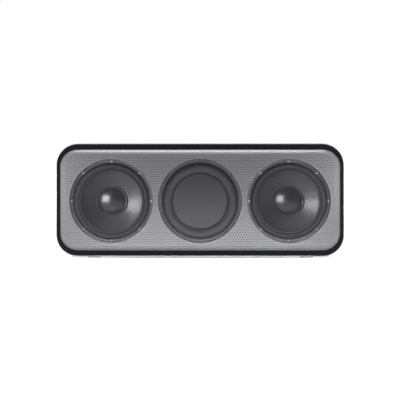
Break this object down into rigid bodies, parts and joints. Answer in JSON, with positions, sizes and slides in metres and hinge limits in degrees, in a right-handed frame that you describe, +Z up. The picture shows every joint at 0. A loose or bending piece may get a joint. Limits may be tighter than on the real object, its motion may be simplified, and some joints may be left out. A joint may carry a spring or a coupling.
{
  "type": "bluetooth speaker",
  "caption": "Long table-top wireless speaker with round corners, a perforated steel grille, two cone drivers and a passive radiator between them.",
  "frame": {"origin": "middle of the bounding box's underside, where the feet stand", "axes": "+X to the right seen from the front, +Y to the back, +Z up"},
  "size_m": [0.284, 0.08, 0.1124],
  "materials": {
    "casing": "fine satin, moulded",
    "bezel": "satin, moulded",
    "grille": "silver grey powder coat",
    "guard": "matt black woven mesh",
    "baffle": "matt, moulded",
    "foam": "closed cell foam",
    "screw_steel": "black oxide",
    "basket": "grey paint on pressed steel",
    "surround": "matt, moulded",
    "cone": "pressed pulp",
    "dust_cap": "smooth, slightly glossy",
    "voice_coil": "enamelled copper wire",
    "spider": "resin stiffened cloth",
    "motor_steel": "zinc plated",
    "ferrite": "ground",
    "terminal": "resin bonded paper",
    "bright_screw": "zinc plated",
    "lead": "insulated wire",
    "disc": "matt, moulded",
    "board": "solder mask",
    "heat_sink": "extruded, plain",
    "shield": "tinned steel",
    "capacitor": "shrink sleeve",
    "nylon": "natural",
    "battery": "shrink wrap",
    "bracket": "pressed steel",
    "socket": "moulded",
    "port_panel": "moulded",
    "control_panel": "satin, moulded",
    "button": "soft touch",
    "switch": "stamped cover",
    "ribbon": "insulated wire",
    "foot": "moulded"
  },
  "bodies": {
    "root": {"casing": "casing", "front_bezel": "bezel", "front_grille": "grille", "left_guard": "guard", "center_guard": "guard", "right_guard": "guard", "baffle": "baffle", "baffle_gasket": "foam", "baffle_screws": "screw_steel", "left_basket": "basket", "left_surround": "surround", "left_spider": "spider", "left_top_plate": "motor_steel", "left_magnet": "ferrite", "left_pole_plate": "motor_steel", "left_terminal": "terminal", "left_screws": "bright_screw", "right_basket": "basket", "right_surround": "surround", "right_spider": "spider", "right_top_plate": "motor_steel", "right_magnet": "ferrite", "right_pole_plate": "motor_steel", "right_terminal": "terminal", "right_screws": "bright_screw", "radiator_frame": "basket", "radiator_surround": "surround", "main_board": "board", "heat_sink": "heat_sink", "radio_module": "shield", "capacitors": "capacitor", "lead_sockets": "nylon", "battery_pack": "battery", "battery_bracket": "bracket", "inner_screws": "screw_steel", "dc_socket": "socket", "audio_socket": "socket", "port_panel": "port_panel", "control_panel": "control_panel", "button_board": "board", "key_switches": "switch", "left_leads": "lead", "right_leads": "lead", "battery_leads": "lead", "button_leads": "ribbon", "feet": "foot"},
    "left_moving_cone": {"left_cone": "cone", "left_dust_cap": "dust_cap", "left_voice_coil": "voice_coil"},
    "right_moving_cone": {"right_cone": "cone", "right_dust_cap": "dust_cap", "right_voice_coil": "voice_coil"},
    "moving_radiator": {"radiator_disc": "disc", "radiator_weight": "motor_steel"},
    "power_key": {"power_button": "button"},
    "minus_key": {"minus_button": "button"},
    "play_key": {"play_button": "button"},
    "plus_key": {"plus_button": "button"},
    "source_key": {"source_button": "button"}
  },
  "joints": [
    {"name": "left_cone_stroke", "type": "slide", "parent": "root", "child": "left_moving_cone", "axis": [0, 1, 0], "range_m": [-0.0025, 0.0025], "stiffness_N_per_m": 1200, "deforming": ["left_surround", "left_spider"]},
    {"name": "right_cone_stroke", "type": "slide", "parent": "root", "child": "right_moving_cone", "axis": [0, 1, 0], "range_m": [-0.0025, 0.0025], "stiffness_N_per_m": 1200, "deforming": ["right_surround", "right_spider"]},
    {"name": "radiator_stroke", "type": "slide", "parent": "root", "child": "moving_radiator", "axis": [0, 1, 0], "range_m": [-0.0025, 0.0025], "stiffness_N_per_m": 1500, "deforming": ["radiator_surround"]},
    {"name": "power_press", "type": "slide", "parent": "root", "child": "power_key", "axis": [0, 0, -1], "range_m": [0, 0.0008], "stiffness_N_per_m": 800},
    {"name": "minus_press", "type": "slide", "parent": "root", "child": "minus_key", "axis": [0, 0, -1], "range_m": [0, 0.0008], "stiffness_N_per_m": 800},
    {"name": "play_press", "type": "slide", "parent": "root", "child": "play_key", "axis": [0, 0, -1], "range_m": [0, 0.0008], "stiffness_N_per_m": 800},
    {"name": "plus_press", "type": "slide", "parent": "root", "child": "plus_key", "axis": [0, 0, -1], "range_m": [0, 0.0008], "stiffness_N_per_m": 800},
    {"name": "source_press", "type": "slide", "parent": "root", "child": "source_key", "axis": [0, 0, -1], "range_m": [0, 0.0008], "stiffness_N_per_m": 800}
  ]
}
